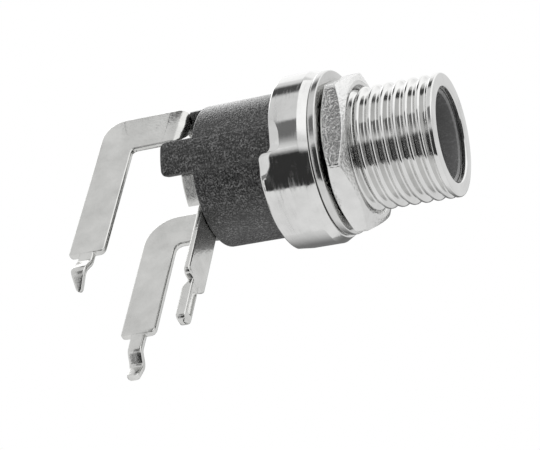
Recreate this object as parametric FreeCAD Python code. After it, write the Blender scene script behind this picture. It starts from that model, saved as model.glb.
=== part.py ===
import FreeCAD, Part
import math
import os

# Panel power jack with a threaded bushing, three flat legs, a nut and a washer.
# Millimetres. X is the axis of the bushing and points out of its mouth.
# Z is up and the legs point down. The origin is the middle of the face of the
# cup that the panel rests on.
# Angles around the axis are in degrees: 0 is the side of the shunt leg (-Y),
# 90 is down (-Z), 180 is the side of the sleeve leg (+Y).

V = FreeCAD.Vector

# Threaded bushing and cup, turned in one piece
THREAD_D = 7.94          # major diameter of the thread
THREAD_PITCH = 0.794     # advance of one turn
MOUTH_X = 7.68           # end face of the bushing
MOUTH_CHAMFER = 0.22     # lead-in at the outer edge of the mouth
LIP_D = 6.12             # inner edge of the mouth
LIP_DEPTH = 0.40         # depth of that inner lip
BORE_CHAMFER = 0.14      # lead-in at the inner edge of the mouth
BUSHING_BORE_D = 6.46    # bore behind the lip, which the body's liner fills
RELIEF_D = 6.9           # undercut where the thread runs out at the cup
RELIEF_LENGTH = 0.45     # length of that undercut
CUP_D = 11.23            # outside of the cup
CUP_LENGTH = 3.40        # depth of the long skirt of the cup
CUP_EDGE_LENGTH = 0.55   # slope at the front edge, along the axis
CUP_EDGE_DROP = 0.30     # slope at the front edge, across the axis
CUP_FLOOR = 0.95         # thickness of the front wall of the cup
CUP_WALL = 0.50          # wall of the skirt
LIP_REACH = 0.38         # how far the rolled lip turns in over the body
LIP_LENGTH = 0.50        # length of the rolled lip
RIM_STEP = 0.88          # the upper skirt is shorter by this much
RIM_STEP_ANGLE = 43.0    # the long skirt starts here and ends at the mirrored angle
RIM_STEP_BLEND = 0.35    # rounding of the corners of that step

# Moulded body
BODY_GAP = 0.45          # room between the tube and the skirt of the cup
BODY_D = CUP_D - 2 * (CUP_WALL + BODY_GAP)
BODY_WALL = 0.515        # wall of the tube
BODY_REAR_X = -8.23      # rear rim of the tube
BODY_BORE_D = BODY_D - 2 * BODY_WALL
LINER_GAP = 0.02         # room around the liner in the bushing
GUIDE_D = 5.62           # guide land of the liner, just inside the mouth
GUIDE_LENGTH = 1.30      # length of that land
GUIDE_CHAMFER = 0.10     # lead-in of the land
LINER_D = 5.98           # inside of the liner behind the land
FRONT_WALL = 0.75        # wall of the body behind the floor of the cup
WEB = 1.30               # cross wall at the rear that carries the pin
BODY_EDGE = 0.12         # broken edge of the rear rim
RIB_ANGLE = 27.8         # middle of the long side rib
RIB_WIDTH = 2.35         # width of the rib across
RIB_HEIGHT = 0.335       # how far the rib stands proud of the tube
RIB_D = BODY_D + 2 * RIB_HEIGHT
RIB_TAIL = 1.99          # how far the rib stands out behind the rim
TONGUE_FROM = -30.0      # guide tongue behind the rim, lower side
TONGUE_TO = -78.0        # guide tongue, upper side
TONGUE_INSET = 0.115     # the tongue's outside lies this far inside the tube's
TONGUE_WALL = 0.85       # thickness of the tongue
TONGUE_OUT_D = BODY_D - 2 * TONGUE_INSET
TONGUE_IN_D = TONGUE_OUT_D - 2 * TONGUE_WALL
TONGUE_TAIL = 1.07       # how far the tongue stands out behind the rim
SLOT_CLEARANCE = 0.05    # room around each strip in its slot

# Centre pin
PIN_D = 2.50             # contact pin
PIN_TIP_X = 5.70         # its nose
PIN_NOSE = 0.45          # rounding of the nose
PIN_FLANGE_D = 3.90      # collar that sits on the cross wall
PIN_FLANGE = 0.50        # thickness of the collar
PIN_SHANK_D = 1.70       # shank through the cross wall and the leg
RIVET_D = 2.70           # upset head behind the leg
RIVET_H = 0.40           # height of that head

# Sheet metal of the three legs
SHEET = 0.41             # thickness
LEG_GAP = 0.04           # room between a side leg's barrel and the tube
LEG_SPREAD = BODY_BORE_D - 2 * LEG_GAP
SHOULDER_Z = -9.42       # the shoulders rest on the circuit board
SIDE_LEG_REAR_X = -15.29 # rear edge of both side legs
SIDE_LEG_W = 2.49        # width of both side legs
BOARD_PIN_W = 1.02       # width of the pins that enter the board
BOARD_PIN_SET = 0.79     # the pins start this far from the rear edge
BOARD_PIN_BEND = 0.34    # middle radius of the kinks in the pins
SHOULDER_ROUND = 0.45    # rounding of the front shoulder
SHOULDER_CUT = 0.18      # broken corner of the rear shoulder

# Shunt leg, near side
SHUNT_TOP_Z = 2.60
SHUNT_ARM_H = 2.97
SHUNT_CORNER = 1.45      # rounding of its outer corner
SHUNT_INNER = 0.30       # rounding of its inner corner
SHUNT_FACE_X = -9.30     # front of the part that crosses behind the body
SHUNT_BEND = 1.10        # middle radius of the bend behind the body
SHUNT_BAR_H = 1.10       # height of the bar that crosses above the pin
SHUNT_NECK_Y = -2.85     # the strip has narrowed to the bar here
SHUNT_TAB_Y = 2.79       # inner face of the tab that runs forward in the body
SHUNT_TAB_TOP = 2.20     # upper edge of the tab
SHUNT_TAB_LOW = 0.30     # lower edge of the tab
SHUNT_TAB_X = -4.45      # front end of the tab, where the spring rests
SHUNT_TAB_BEND = 0.40    # middle radius of its bend

# Sleeve leg, far side
SLEEVE_TOP_Z = 1.02
SLEEVE_ARM_H = 2.71
SLEEVE_CORNER = 2.25     # rounding of its outer corner
SLEEVE_INNER = 0.50      # rounding of its inner corner
BARREL_FROM = 32.0       # rolled barrel, near edge
BARREL_TO = 200.0        # rolled barrel, far edge
BARREL_TAIL = 1.03       # how far it stands out behind the body
BARREL_FRONT_X = -1.85   # its front edge
SPRING_W = 2.40          # width of the spring finger
SPRING_T = 0.30          # thickness of the spring finger
SPRING_ROOT_X = -6.60    # root of the finger
SPRING_TOUCH_X = -2.45   # place where it touches the plug
SPRING_TOUCH_R = 2.62    # distance of that place from the axis, at rest
SPRING_TIP_X = -1.98     # turned out end
SPRING_TIP_R = 2.95      # distance of that end from the axis
SPRING_GAP = 0.15        # slit on each side of the finger

# Kinked board pins: neck Z, bulge, its Z, shift of the end, end Z, taper each side
SHUNT_PIN = (-10.15, 0.50, -11.20, -0.28, -12.28, 0.34)
SLEEVE_PIN = (-10.75, 0.75, -11.45, 0.50, -12.55, 0.08)

# Pin leg, middle
PIN_LEG_W = 2.48
PIN_LEG_TOP = 1.55       # the rounded head reaches this far above the axis
PIN_LEG_CHAMFER = 0.45   # corners of its shoulders
PIN_LEG_END_Z = -12.60   # end of the formed pin
PIN_LEG_PIN_W = 0.96     # width of the formed pin
PIN_LEG_PIN_T = 0.70     # depth of the formed pin
PIN_LEG_GROOVE_W = 0.40  # width of the hollow in its front
PIN_LEG_GROOVE_T = 0.30  # depth of that hollow

# Washer and nut
SEAT_GAP = 0.02          # room between the washer, the cup and the nut
WASHER_PROUD = 0.015     # the washer stands this far proud of the cup's front face
WASHER_D = CUP_D - 2 * CUP_EDGE_DROP + 2 * WASHER_PROUD
WASHER_PLAY = 0.18       # room around the thread in the washer
WASHER_BORE_D = THREAD_D + 2 * WASHER_PLAY
WASHER_Y = -0.105        # the loose washer sits this far off centre, inside its play
WASHER_Z = 0.077
WASHER_T = 0.52
WASHER_EDGE = 0.12
NUT_AF = 9.50            # across the flats
NUT_T = 1.68
NUT_CORNER_ANGLE = -5.0  # one corner of the hexagon
NUT_CHAMFER_D = 8.90     # the chamfer starts at this diameter
NUT_CHAMFER_ANGLE = 26.0
NUT_CLEARANCE = 0.04     # radial room of the nut on the thread

# Places that follow from the sizes
BARREL_OUT_R = LEG_SPREAD / 2
BARREL_IN_R = BARREL_OUT_R - SHEET
CUP_IN_R = CUP_D / 2 - CUP_WALL
LIP_IN_R = CUP_IN_R - LIP_REACH
SHORT_RIM_X = -(CUP_LENGTH - RIM_STEP)
LONG_RIM_X = -CUP_LENGTH
FLANGE_REAR_X = SHORT_RIM_X + LIP_LENGTH
WEB_FRONT_X = BODY_REAR_X + WEB
PIN_LEG_REAR_X = BODY_REAR_X - SHEET
WASHER_X = SEAT_GAP
NUT_X = WASHER_X + WASHER_T + SEAT_GAP


def around(radius, angle, x=0.0):
    """Point at a radius and an angle around the axis."""
    a = math.radians(angle)
    return V(x, -radius * math.cos(a), -radius * math.sin(a))


def turned(profile):
    """Solid of revolution about X from its (x, radius) outline."""
    points = [V(x, 0, r) for x, r in profile]
    face = Part.Face(Part.makePolygon(points + points[:1]))
    return face.revolve(V(0, 0, 0), V(1, 0, 0), 360)


def rod(diameter, x0, x1):
    """Round bar on the axis."""
    return Part.makeCylinder(diameter / 2, x1 - x0, V(x0, 0, 0), V(1, 0, 0))


def block(x0, x1, y0, y1, z0, z1):
    """Box between two corners."""
    return Part.makeBox(x1 - x0, y1 - y0, z1 - z0, V(x0, y0, z0))


def arc(radius, start, end, x=0.0):
    """Arc around the axis from one angle to another."""
    middle = (start + end) / 2
    ends = around(radius, start, x), around(radius, middle, x), around(radius, end, x)
    return Part.Arc(*ends).toShape()


def sector(r_in, r_out, start, end, x0, x1):
    """Part of a tube between two angles."""
    outer = arc(r_out, start, end, x0)
    inner = arc(r_in, end, start, x0)
    side_a = Part.makeLine(around(r_out, end, x0), around(r_in, end, x0))
    side_b = Part.makeLine(around(r_in, start, x0), around(r_out, start, x0))
    face = Part.Face(Part.Wire([outer, side_a, inner, side_b]))
    return face.extrude(V(x1 - x0, 0, 0))


def rounded_plate(corners, place, sweep):
    """Flat plate whose corners are (u, v, rounding), put in space by place(u, v)."""
    edges = []
    count = len(corners)
    joints = []
    for i, (u, v, r) in enumerate(corners):
        here = V(u, v, 0)
        back = V(*corners[i - 1][:2], 0) - here
        ahead = V(*corners[(i + 1) % count][:2], 0) - here
        back.normalize()
        ahead.normalize()
        if r <= 0:
            joints.append((here, None, here))
            continue
        half = back.getAngle(ahead) / 2
        reach = r / math.tan(half)
        middle = (back + ahead).normalize()
        centre = here + middle * (r / math.sin(half))
        joints.append((here + back * reach, centre - middle * r, here + ahead * reach))
    for i, (first, crown, last) in enumerate(joints):
        if crown is not None:
            three = [place(p.x, p.y) for p in (first, crown, last)]
            edges.append(Part.Arc(*three).toShape())
        start = last
        end = joints[(i + 1) % count][0]
        if (end - start).Length > 1e-6:
            edges.append(Part.makeLine(place(start.x, start.y), place(end.x, end.y)))
    return Part.Face(Part.Wire(edges)).extrude(sweep)


def ribbon(path, thickness, place, sweep):
    """Bent strip seen from its edge: path is (u, v, middle radius of the bend)."""
    left = []
    right = []
    half = thickness / 2
    last = len(path) - 1
    for i, (u, v, r) in enumerate(path):
        here = V(u, v, 0)
        into = here - V(*path[i - 1][:2], 0) if i > 0 else None
        out = V(*path[i + 1][:2], 0) - here if i < last else None
        into = into.normalize() if into else out.normalize() * 1
        out = out.normalize() if out else V(into)
        n_in = V(-into.y, into.x, 0)
        n_out = V(-out.y, out.x, 0)
        mitre = (n_in + n_out).normalize()
        stretch = half / mitre.dot(n_in)
        turn = into.cross(out).z
        grow = half if turn < 0 else -half
        r_left = max(r + grow, 0.02) if 0 < i < last else 0
        r_right = max(r - grow, 0.02) if 0 < i < last else 0
        left.append((here.x + mitre.x * stretch, here.y + mitre.y * stretch, r_left))
        right.append((here.x - mitre.x * stretch, here.y - mitre.y * stretch, r_right))
    return rounded_plate(left + right[::-1], place, sweep)


def flat_side(y):
    """Place a drawing in the XZ plane at a given Y."""
    return lambda u, v: V(u, y, v)


def flat_top(z):
    """Place a drawing in the XY plane at a given Z."""
    return lambda u, v: V(u, v, z)


def flat_end(x):
    """Place a drawing in the YZ plane at a given X."""
    return lambda u, v: V(x, u, v)


def joined(first, *others):
    """One solid from pieces that overlap."""
    return first.fuse(list(others)).removeSplitter()


def make_bushing():
    """Cup, threaded stretch and bore in one turned piece, with the stepped rim."""
    mouth_r = THREAD_D / 2
    cup_r = CUP_D / 2
    body = turned([
        (MOUTH_X, LIP_D / 2 + BORE_CHAMFER),
        (MOUTH_X, mouth_r - MOUTH_CHAMFER),
        (MOUTH_X - MOUTH_CHAMFER, mouth_r),
        (RELIEF_LENGTH, mouth_r),
        (RELIEF_LENGTH, RELIEF_D / 2),
        (0, RELIEF_D / 2),
        (0, cup_r - CUP_EDGE_DROP),
        (-CUP_EDGE_LENGTH, cup_r),
        (LONG_RIM_X + LIP_LENGTH / 2, cup_r),
        (LONG_RIM_X, cup_r - LIP_LENGTH / 3),
        (LONG_RIM_X, CUP_IN_R),
        (-CUP_FLOOR, CUP_IN_R),
        (-CUP_FLOOR, BUSHING_BORE_D / 2),
        (MOUTH_X - LIP_DEPTH, BUSHING_BORE_D / 2),
        (MOUTH_X - LIP_DEPTH, LIP_D / 2),
        (MOUTH_X - BORE_CHAMFER, LIP_D / 2),
    ])
    step_end = 180 - RIM_STEP_ANGLE - 360
    short = sector(CUP_IN_R - 1, cup_r + 1, RIM_STEP_ANGLE, step_end,
                   LONG_RIM_X - 1, SHORT_RIM_X)
    corners = [e for e in short.Edges if e.BoundBox.XLength < 1e-6
               and abs(e.BoundBox.XMin - SHORT_RIM_X) < 1e-6
               and e.Length < CUP_D / 2]
    body = body.cut(short.makeFillet(RIM_STEP_BLEND, corners))
    lip = turned([
        (SHORT_RIM_X, LIP_IN_R),
        (SHORT_RIM_X, CUP_IN_R + CUP_WALL / 2),
        (FLANGE_REAR_X, CUP_IN_R + CUP_WALL / 2),
        (FLANGE_REAR_X, LIP_IN_R),
    ])
    rib_gap = rib_bar(RIB_WIDTH + 2 * SLOT_CLEARANCE, LONG_RIM_X - 1, FLANGE_REAR_X,
                      BODY_D / 2 - 0.3, RIB_D / 2 + SLOT_CLEARANCE)
    return joined(body, lip.cut(rib_gap))


def rib_bar(width, x0, x1, r_in, r_out):
    """Straight-sided rib along the tube at the rib's angle."""
    bar = block(x0, x1, -width / 2, width / 2, -r_out - 1, 0)
    bar.rotate(V(0, 0, 0), V(1, 0, 0), RIB_ANGLE - 90)
    ring = rod(2 * r_out, x0, x1).cut(rod(2 * r_in, x0, x1))
    return bar.common(ring)


def make_body():
    """Moulded tube with its liner, flange, cross wall, rib, tongue and slots."""
    r = BODY_D / 2
    flange_r = CUP_IN_R - SLOT_CLEARANCE
    liner_x = MOUTH_X - LIP_DEPTH - LINER_GAP
    liner_r = BUSHING_BORE_D / 2 - LINER_GAP
    land_x = liner_x - GUIDE_CHAMFER - GUIDE_LENGTH
    step = (LINER_D - GUIDE_D) / 2
    tube = turned([
        (-CUP_FLOOR - FRONT_WALL, BODY_BORE_D / 2),
        (-CUP_FLOOR - FRONT_WALL, LINER_D / 2),
        (land_x - step, LINER_D / 2),
        (land_x, GUIDE_D / 2),
        (liner_x - GUIDE_CHAMFER, GUIDE_D / 2),
        (liner_x, GUIDE_D / 2 + GUIDE_CHAMFER),
        (liner_x, liner_r),
        (-CUP_FLOOR, liner_r),
        (-CUP_FLOOR, flange_r),
        (FLANGE_REAR_X, flange_r),
        (FLANGE_REAR_X, r),
        (BODY_REAR_X + BODY_EDGE, r),
        (BODY_REAR_X, r - BODY_EDGE),
        (BODY_REAR_X, 0),
        (WEB_FRONT_X, 0),
        (WEB_FRONT_X, BODY_BORE_D / 2),
    ])
    rib = rib_bar(RIB_WIDTH, BODY_REAR_X, FLANGE_REAR_X, BODY_D / 2 - 0.4, RIB_D / 2)
    tail = rib_bar(RIB_WIDTH, BODY_REAR_X - RIB_TAIL, BODY_REAR_X + 0.2,
                   BODY_BORE_D / 2 + SLOT_CLEARANCE, RIB_D / 2)
    tongue = sector(TONGUE_IN_D / 2, TONGUE_OUT_D / 2, TONGUE_FROM, TONGUE_TO,
                    BODY_REAR_X - TONGUE_TAIL, BODY_REAR_X + 0.2)
    body = joined(tube, rib, tail, tongue)
    behind = BODY_REAR_X - 0.5
    ahead = WEB_FRONT_X + 0.5
    pin_hole = rod(PIN_SHANK_D, behind, ahead)
    barrel_slot = sector(BARREL_IN_R - SLOT_CLEARANCE, BODY_BORE_D / 2,
                         BARREL_FROM - 1, BARREL_TO + 1, behind, ahead)
    gap = SLOT_CLEARANCE
    tab_slot = block(behind, ahead, SHUNT_TAB_Y - gap, SHUNT_TAB_Y + SHEET + gap,
                     SHUNT_TAB_LOW - gap, SHUNT_TAB_TOP + gap)
    return body.cut([pin_hole, barrel_slot, tab_slot])


def make_centre_pin():
    """Round contact pin with its collar, shank and upset head."""
    r = PIN_D / 2
    head_x = PIN_LEG_REAR_X
    pin = turned([
        (PIN_TIP_X, 0),
        (PIN_TIP_X, r),
        (WEB_FRONT_X + PIN_FLANGE, r),
        (WEB_FRONT_X + PIN_FLANGE, PIN_FLANGE_D / 2),
        (WEB_FRONT_X, PIN_FLANGE_D / 2),
        (WEB_FRONT_X, PIN_SHANK_D / 2),
        (head_x, PIN_SHANK_D / 2),
        (head_x, RIVET_D / 2),
        (head_x - RIVET_H * 0.45, RIVET_D / 2),
        (head_x - RIVET_H, RIVET_D / 4),
        (head_x - RIVET_H, 0),
    ])
    nose = [e for e in pin.Edges if abs(e.BoundBox.XMin - PIN_TIP_X) < 1e-6
            and e.Length > math.pi * r]
    return pin.makeFillet(PIN_NOSE, nose)


def side_blade(top_z, arm_h, front_x, corner, inner, y):
    """L shaped side leg down to its shoulders, with the root of its board pin."""
    rear = SIDE_LEG_REAR_X
    front = rear + SIDE_LEG_W
    pin_rear = rear + BOARD_PIN_SET
    pin_front = pin_rear + BOARD_PIN_W
    neck = SHOULDER_Z - 0.35
    corners = [
        (front_x, top_z, 0),
        (rear, top_z, corner),
        (rear, SHOULDER_Z, SHOULDER_CUT),
        (pin_rear, SHOULDER_Z, 0.1),
        (pin_rear, neck, 0),
        (pin_front, neck, 0),
        (pin_front, SHOULDER_Z, 0.1),
        (front, SHOULDER_Z, SHOULDER_ROUND),
        (front, top_z - arm_h, inner),
        (front_x, top_z - arm_h, 0),
    ]
    return rounded_plate(corners, flat_side(y), V(0, SHEET, 0))


def board_pin(y_mid, side, neck, bulge, bulge_z, end_shift, end_z, taper):
    """Kinked snap-in pin: straight to neck, out by bulge, back, and a tapered end."""
    start = SHOULDER_Z - 0.2
    x0 = SIDE_LEG_REAR_X + BOARD_PIN_SET
    x1 = x0 + BOARD_PIN_W
    path = [
        (y_mid, start, 0),
        (y_mid, neck, BOARD_PIN_BEND),
        (y_mid + side * bulge, bulge_z, BOARD_PIN_BEND),
        (y_mid + side * end_shift, end_z, 0),
    ]
    strip = ribbon(path, SHEET, flat_end(x0), V(BOARD_PIN_W, 0, 0))
    low = end_z - 0.2
    half_end = BOARD_PIN_W / 2 - taper
    x_mid = (x0 + x1) / 2
    mask = rounded_plate([
        (x0 - 0.1, start + 0.5, 0),
        (x0 - 0.1, bulge_z, 0),
        (x0, bulge_z, 0.3),
        (x_mid - half_end, low, 0.12),
        (x_mid + half_end, low, 0.12),
        (x1, bulge_z, 0.3),
        (x1 + 0.1, bulge_z, 0),
        (x1 + 0.1, start + 0.5, 0),
    ], flat_side(y_mid - 3), V(0, 6, 0))
    return strip.common(mask)


def make_shunt_contact():
    """Near leg: blade, bar that crosses above the pin, and the tab to the spring."""
    mid = BARREL_OUT_R - SHEET / 2
    z_low = SHUNT_TOP_Z - SHUNT_ARM_H
    bar_low = SHUNT_TOP_Z - SHUNT_BAR_H
    bar_x = SHUNT_FACE_X - SHEET / 2
    blade_end = bar_x - SHUNT_BEND
    tab_y = SHUNT_TAB_Y + SHEET / 2
    blade = side_blade(SHUNT_TOP_Z, SHUNT_ARM_H, blade_end, SHUNT_CORNER, SHUNT_INNER,
                       -BARREL_OUT_R)
    strip = ribbon([
        (blade_end - 0.3, -mid, 0),
        (bar_x, -mid, SHUNT_BEND),
        (bar_x, tab_y, SHUNT_TAB_BEND),
        (SHUNT_TAB_X, tab_y, 0),
    ], SHEET, flat_top(z_low), V(0, 0, SHUNT_ARM_H))
    far = SHUNT_TAB_Y - SHEET
    outline = rounded_plate([
        (-mid - 1, SHUNT_TOP_Z + 0.1, 0),
        (-mid - 1, z_low - 0.1, 0),
        (SHUNT_NECK_Y - SHUNT_BEND, z_low - 0.1, 0.5),
        (SHUNT_NECK_Y, bar_low, 0.5),
        (far, bar_low, 0.3),
        (far + 0.35, SHUNT_TAB_LOW, 0.3),
        (mid, SHUNT_TAB_LOW, 0),
        (mid, SHUNT_TAB_TOP, 0),
        (far + 0.4, SHUNT_TAB_TOP, 0.3),
        (far, SHUNT_TOP_Z + 0.1, 0),
    ], flat_end(blade_end - 1), V(SHUNT_TAB_X - blade_end + 2, 0, 0))
    pin = board_pin(-mid, -1, *SHUNT_PIN)
    return joined(blade, strip.common(outline), pin)


def make_sleeve_contact():
    """Far leg: blade, rolled barrel and the spring finger that touches the plug."""
    mid = BARREL_OUT_R - SHEET / 2
    tail_x = BODY_REAR_X - BARREL_TAIL
    barrel = sector(BARREL_IN_R, BARREL_OUT_R, BARREL_FROM, BARREL_TO,
                    tail_x, BARREL_FRONT_X)
    leg_gap = PIN_LEG_W / 2 + SLOT_CLEARANCE
    notch = block(tail_x - 1, BODY_REAR_X + SLOT_CLEARANCE, -leg_gap, leg_gap, -6, 0)
    slit = SPRING_W / 2 + SPRING_GAP
    window = block(SPRING_ROOT_X, BARREL_FRONT_X + 1, 1, 6, -slit, slit)
    barrel = barrel.cut([notch, window])
    root_y = BARREL_IN_R + SPRING_T / 2
    finger = ribbon([
        (SPRING_ROOT_X - 0.25, root_y, 0),
        (SPRING_ROOT_X + 0.5, root_y, 1.2),
        (SPRING_TOUCH_X, SPRING_TOUCH_R + SPRING_T / 2, 0.4),
        (SPRING_TIP_X, SPRING_TIP_R + SPRING_T / 2, 0),
    ], SPRING_T, flat_top(-SPRING_W / 2), V(0, 0, SPRING_W))
    blade = side_blade(SLEEVE_TOP_Z, SLEEVE_ARM_H, BODY_REAR_X - 0.1, SLEEVE_CORNER,
                       SLEEVE_INNER, BARREL_IN_R)
    pin = board_pin(mid, 1, *SLEEVE_PIN)
    finger = finger.common(rod(LEG_SPREAD, SPRING_ROOT_X - 1, SPRING_TIP_X + 1))
    return joined(barrel, finger, blade, pin)


def make_pin_terminal():
    """Middle leg, held by the head of the pin, with a hollow formed pin at its end."""
    w = PIN_LEG_W / 2
    p = PIN_LEG_PIN_W / 2
    head_r = min(w, PIN_LEG_TOP) - 0.01
    plate = rounded_plate([
        (w, PIN_LEG_TOP, head_r),
        (-w, PIN_LEG_TOP, head_r),
        (-w, SHOULDER_Z, PIN_LEG_CHAMFER),
        (-p, SHOULDER_Z, 0.08),
        (-p, SHOULDER_Z - 0.4, 0),
        (p, SHOULDER_Z - 0.4, 0),
        (p, SHOULDER_Z, 0.08),
        (w, SHOULDER_Z, PIN_LEG_CHAMFER),
    ], flat_end(PIN_LEG_REAR_X), V(SHEET, 0, 0))
    top = SHOULDER_Z + 0.55
    stem = rounded_plate([
        (-p, top, p * 0.8),
        (-p, PIN_LEG_END_Z, 0.32),
        (p, PIN_LEG_END_Z, 0.32),
        (p, top, p * 0.8),
    ], flat_end(BODY_REAR_X - PIN_LEG_PIN_T), V(PIN_LEG_PIN_T, 0, 0))
    side = rounded_plate([
        (BODY_REAR_X, top + 0.1, 0),
        (BODY_REAR_X, PIN_LEG_END_Z, 0.25),
        (BODY_REAR_X - PIN_LEG_PIN_T, PIN_LEG_END_Z, 0.25),
        (BODY_REAR_X - PIN_LEG_PIN_T, SHOULDER_Z - 0.5, 0.3),
        (PIN_LEG_REAR_X, SHOULDER_Z + 0.2, 0),
        (PIN_LEG_REAR_X, top + 0.1, 0),
    ], flat_side(-1), V(0, 2, 0))
    g = PIN_LEG_GROOVE_W / 2
    groove = rounded_plate([
        (-g, SHOULDER_Z - 0.45, g * 0.98),
        (-g, PIN_LEG_END_Z + 0.55, g * 0.98),
        (g, PIN_LEG_END_Z + 0.55, g * 0.98),
        (g, SHOULDER_Z - 0.45, g * 0.98),
    ], flat_end(BODY_REAR_X - PIN_LEG_GROOVE_T), V(PIN_LEG_GROOVE_T + 0.5, 0, 0))
    hole = rod(PIN_SHANK_D, PIN_LEG_REAR_X - 1, BODY_REAR_X + 1)
    return joined(plate, stem.common(side)).cut([groove, hole])


def make_washer():
    """Flat ring with softly broken outer edges."""
    r = WASHER_D / 2
    x1 = WASHER_X + WASHER_T
    ring = turned([
        (WASHER_X, WASHER_BORE_D / 2),
        (WASHER_X, r - WASHER_EDGE),
        (WASHER_X + WASHER_EDGE, r),
        (x1 - WASHER_EDGE, r),
        (x1, r - WASHER_EDGE),
        (x1, WASHER_BORE_D / 2),
    ])
    ring.translate(V(0, WASHER_Y, WASHER_Z))
    return ring


def make_nut():
    """Hexagon nut, chamfered on both sides, with countersunk thread ends."""
    corner_r = NUT_AF / 2 / math.cos(math.radians(30))
    corners = [around(corner_r, NUT_CORNER_ANGLE + 60 * i, NUT_X) for i in range(7)]
    prism = Part.Face(Part.makePolygon(corners)).extrude(V(NUT_T, 0, 0))
    rise = (corner_r - NUT_CHAMFER_D / 2) * math.tan(math.radians(NUT_CHAMFER_ANGLE))
    over = corner_r + 0.01
    blank = turned([
        (NUT_X, 0),
        (NUT_X, NUT_CHAMFER_D / 2),
        (NUT_X + rise, over),
        (NUT_X + NUT_T - rise, over),
        (NUT_X + NUT_T, NUT_CHAMFER_D / 2),
        (NUT_X + NUT_T, 0),
    ])
    bore_r = THREAD_D / 2 + NUT_CLEARANCE
    sink = 0.15
    hole = turned([
        (NUT_X - 1, 0),
        (NUT_X - 1, bore_r + sink),
        (NUT_X, bore_r + sink),
        (NUT_X + sink, bore_r),
        (NUT_X + NUT_T - sink, bore_r),
        (NUT_X + NUT_T, bore_r + sink),
        (NUT_X + NUT_T + 1, bore_r + sink),
        (NUT_X + NUT_T + 1, 0),
    ])
    return prism.common(blank).cut(hole)


PARTS = {
    "threaded_bushing": make_bushing,
    "insulator_body": make_body,
    "centre_pin": make_centre_pin,
    "shunt_contact": make_shunt_contact,
    "sleeve_contact": make_sleeve_contact,
    "pin_terminal": make_pin_terminal,
    "flat_washer": make_washer,
    "panel_nut": make_nut,
}

os.makedirs("parts", exist_ok=True)
for name, make in PARTS.items():
    shape = make()
    if len(shape.Solids) == 1:
        shape = shape.Solids[0]
    shape.exportStep("parts/" + name + ".step")
    print(name, len(shape.Solids), round(shape.Volume, 2), shape.isValid())
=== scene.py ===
import logging
import math
from dataclasses import dataclass
from enum import Enum
from typing import Optional, Sequence, Union

import bmesh
import bpy
import numpy as np
from mathutils import Matrix, Vector


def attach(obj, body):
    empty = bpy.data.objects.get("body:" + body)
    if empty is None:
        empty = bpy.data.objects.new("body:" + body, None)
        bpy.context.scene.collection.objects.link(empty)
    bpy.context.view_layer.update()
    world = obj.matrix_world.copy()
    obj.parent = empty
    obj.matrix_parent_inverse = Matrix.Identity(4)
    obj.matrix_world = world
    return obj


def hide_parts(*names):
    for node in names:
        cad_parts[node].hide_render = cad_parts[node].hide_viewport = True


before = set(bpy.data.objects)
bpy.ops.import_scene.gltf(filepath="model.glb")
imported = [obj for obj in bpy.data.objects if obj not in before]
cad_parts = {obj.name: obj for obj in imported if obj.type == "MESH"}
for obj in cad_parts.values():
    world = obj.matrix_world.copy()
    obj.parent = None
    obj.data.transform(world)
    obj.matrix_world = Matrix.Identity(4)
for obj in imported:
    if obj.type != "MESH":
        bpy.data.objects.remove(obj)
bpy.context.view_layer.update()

logging.basicConfig(level=logging.INFO, format="%(message)s")
LOG = logging.getLogger("power_jack")

MM = 0.001  # every length below is in millimetres
MERGE_M = 2e-7  # in metres; points nearer to each other than this are one
TINY = 1e-9  # keeps a division by a length away from 0
STILL = 1e-4  # a middle line that moves less than this has no direction
CORNER_SHARE = 0.49  # most of a run that one rounded corner may take up
NOISE_SPAN = (0.3, 0.7)  # nearly all values of one noise lie in here
PRODUCT_SPAN = (0.2, 0.45)  # and those of the product of two noises in here
MIX_SHARE, MIX_FIRST, MIX_SECOND, MIXED = 0, 6, 7, 2  # sockets of a colour Mix node
CARD_COLUMNS = 60  # strips that each studio card is made of
STUDIO_WHITE = 0.85  # light of the studio as the metal mirrors it
FLOOR_WHITE = 0.95  # light of the floor as the metal mirrors it
FILL_LIGHT = 0.75  # light of the studio on matte surfaces
Value = Union[float, np.ndarray]


class Body(Enum):
    """The three bodies that the pieces ride on."""

    JACK = "jack"
    WASHER = "washer"
    NUT = "nut"


# ---------------------------------------------------------------- surfaces


def smooth_step(value: np.ndarray, low: float, high: float) -> np.ndarray:
    """Rise from 0 at low to 1 at high: 3 times the square of the share less 2 cubes."""
    share = np.clip((value - low) / (high - low), 0.0, 1.0)
    return share * share * (3.0 - 2.0 * share)


def window(value: np.ndarray, rise: tuple, fall: tuple) -> np.ndarray:
    """Smooth step from 0 to 1 between the first two places, and back at the others."""
    return smooth_step(value, *rise) * (1.0 - smooth_step(value, *fall))


def span_ends(middle: float, half: float, soft: float) -> np.ndarray:
    """Columns at both ends of a span in degrees, and at this much beyond each."""
    return middle + np.array([-1, -1, 1, 1]) * half + np.array([-1, 0, 0, 1]) * soft


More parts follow.
